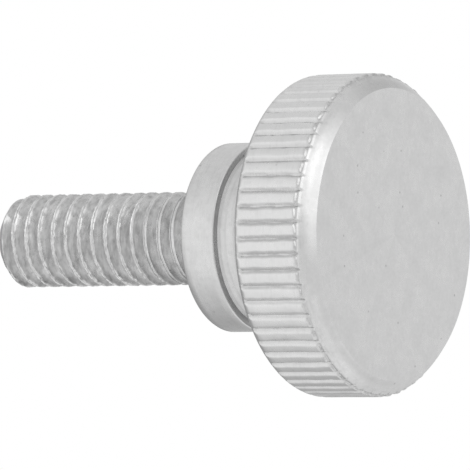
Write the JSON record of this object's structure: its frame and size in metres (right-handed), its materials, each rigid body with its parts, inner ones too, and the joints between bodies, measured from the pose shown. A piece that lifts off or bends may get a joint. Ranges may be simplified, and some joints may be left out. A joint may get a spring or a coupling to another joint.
{
  "type": "knurled thumb screw",
  "caption": "Metric thumb screw with a straight-knurled disc head, a waisted neck, a round collar and a fully threaded shank, tightened by hand.",
  "frame": {"origin": "centre of the flat face of the head, which the screw stands on", "axes": "+Z along the screw's axis, from the head to the tip of the thread; X and Y are any two directions across it"},
  "size_m": [0.02, 0.02, 0.028],
  "materials": {
    "thumb_screw": "zinc-plated steel, satin, turned and knurled"
  },
  "bodies": {
    "root": {"thumb_screw": "thumb_screw"}
  },
  "joints": []
}
